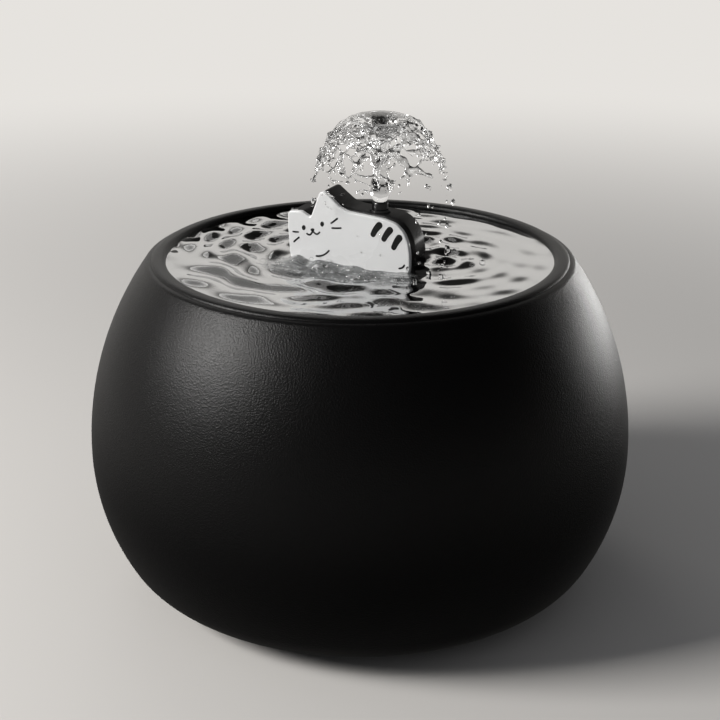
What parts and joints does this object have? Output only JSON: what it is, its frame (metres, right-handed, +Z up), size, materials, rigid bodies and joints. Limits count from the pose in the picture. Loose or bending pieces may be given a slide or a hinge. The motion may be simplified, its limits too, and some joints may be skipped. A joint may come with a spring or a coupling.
{
  "type": "pet water fountain",
  "caption": "Ball-shaped ceramic drinking bowl with a pump case inside, a lying cat figure whose nozzle throws a water bell, and a coil base under it.",
  "frame": {"origin": "on the floor under the middle of the bowl", "axes": "+Z up through the bowl and the pump's rotor; the cat's face looks towards -Y; the nozzle stands towards +X from the middle; the power lead leaves towards +Y"},
  "size_m": [0.2, 0.2, 0.1772],
  "materials": {
    "bowl_glaze": "matte black glaze outside, smooth inside",
    "water": "clear rippled water",
    "water_sheet": "clear falling water",
    "cat_black": "satin black, moulded",
    "cat_white": "white with a printed face",
    "case_black": "fine matte black, moulded",
    "base_black": "fine matte black, moulded",
    "foot_rubber": "matte black rubber",
    "silicone_grey": "matte grey silicone",
    "silicone_clear": "milky silicone",
    "board_green": "green solder mask",
    "chip_black": "moulded chip cases",
    "socket_black": "moulded socket",
    "copper": "enamelled copper wire",
    "ferrite": "sintered ferrite",
    "stator_steel": "stamped sheets",
    "screw_steel": "stainless steel",
    "shaft_ceramic": "ground white ceramic",
    "bush_black": "moulded bearing plastic",
    "magnet": "plastic-bound magnet",
    "impeller_white": "moulded white plastic",
    "tube_clear": "milky tube",
    "foam": "open-cell foam",
    "carbon": "white fleece over carbon"
  },
  "bodies": {
    "base": {"base_housing": "base_black", "base_plate": "base_black", "base_screws": "screw_steel", "rubber_feet": "foot_rubber", "bowl_seat_ring": "silicone_grey", "driver_board": "board_green", "board_parts": "chip_black", "power_socket": "socket_black", "sending_coil": "copper", "ferrite_disc": "ferrite"},
    "bowl": {"bowl": "bowl_glaze", "water_surface": "water"},
    "pump": {"case_pad": "silicone_clear", "filter_case": "case_black", "pump_housing": "case_black", "receiving_coil": "copper", "motor_board": "board_green", "stator_core": "stator_steel", "stator_coils": "copper", "rotor_shaft": "shaft_ceramic", "shaft_bushes": "bush_black", "chamber_cover": "case_black", "cover_screws": "screw_steel", "riser_tube": "tube_clear", "riser_sleeve": "silicone_clear"},
    "rotor": {"rotor_magnet": "magnet", "impeller": "impeller_white"},
    "lid": {"case_lid": "case_black", "filter_cage": "case_black", "foam_pad": "foam", "carbon_pad": "carbon"},
    "cat": {"cat_stem": "cat_black", "cat_shell": "cat_black", "cat_face": "cat_white"},
    "nozzle": {"nozzle": "cat_black", "flow_straightener": "impeller_white", "water_bell": "water_sheet"}
  },
  "joints": [
    {"name": "bowl_lift", "type": "slide", "parent": "base", "child": "bowl", "axis": [0, 0, 1], "range_m": [0, 0.025]},
    {"name": "pump_lift", "type": "slide", "parent": "bowl", "child": "pump", "axis": [0, 0, 1], "range_m": [0, 0.11], "deforming": ["water_surface"]},
    {"name": "rotor_spin", "type": "hinge", "parent": "pump", "child": "rotor", "pos_m": [0, 0, 0.04], "axis": [0, 0, 1], "continuous": true},
    {"name": "lid_lift", "type": "slide", "parent": "pump", "child": "lid", "axis": [0, 0, 1], "range_m": [0, 0.04]},
    {"name": "cat_lift", "type": "slide", "parent": "lid", "child": "cat", "axis": [0, 0, 1], "range_m": [0, 0.07]},
    {"name": "nozzle_lift", "type": "slide", "parent": "cat", "child": "nozzle", "axis": [0, 0, 1], "range_m": [0, 0.008], "deforming": ["water_bell"]}
  ]
}
